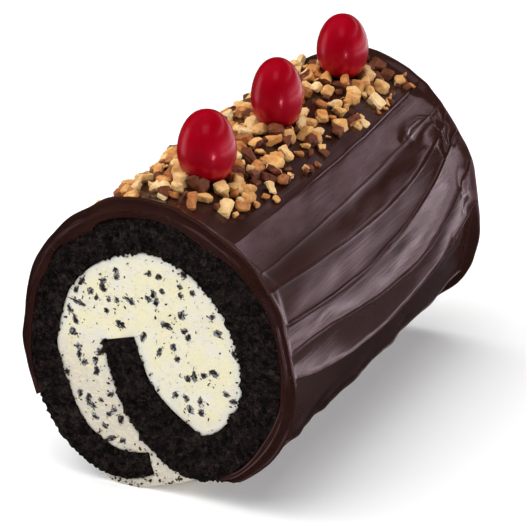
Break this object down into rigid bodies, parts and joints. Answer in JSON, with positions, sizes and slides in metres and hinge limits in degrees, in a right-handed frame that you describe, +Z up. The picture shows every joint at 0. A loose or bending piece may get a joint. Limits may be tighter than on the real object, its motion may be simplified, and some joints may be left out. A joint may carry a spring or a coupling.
{
  "type": "swiss roll",
  "caption": "Chocolate swiss roll: dark sponge rolled round speckled cream, coated in spatula-stroked chocolate and topped with chopped nuts and a row of glace cherries.",
  "frame": {"origin": "on the ground, below the middle of the roll's bounding box", "axes": "+Z up, +Y along the roll from the shown cut face towards the far one, +X across it"},
  "size_m": [0.1006, 0.1628, 0.1282],
  "materials": {
    "sponge": "matt, fine open crumb, near-black brown",
    "cream": "firm pale cream with dark chocolate chips",
    "chocolate": "satin dark chocolate coating",
    "cherry": "wet glossy red"
  },
  "bodies": {
    "root": {"sponge": "sponge", "filling": "cream", "frosting": "chocolate", "cherry_1": "cherry", "cherry_2": "cherry", "cherry_3": "cherry"}
  },
  "joints": []
}
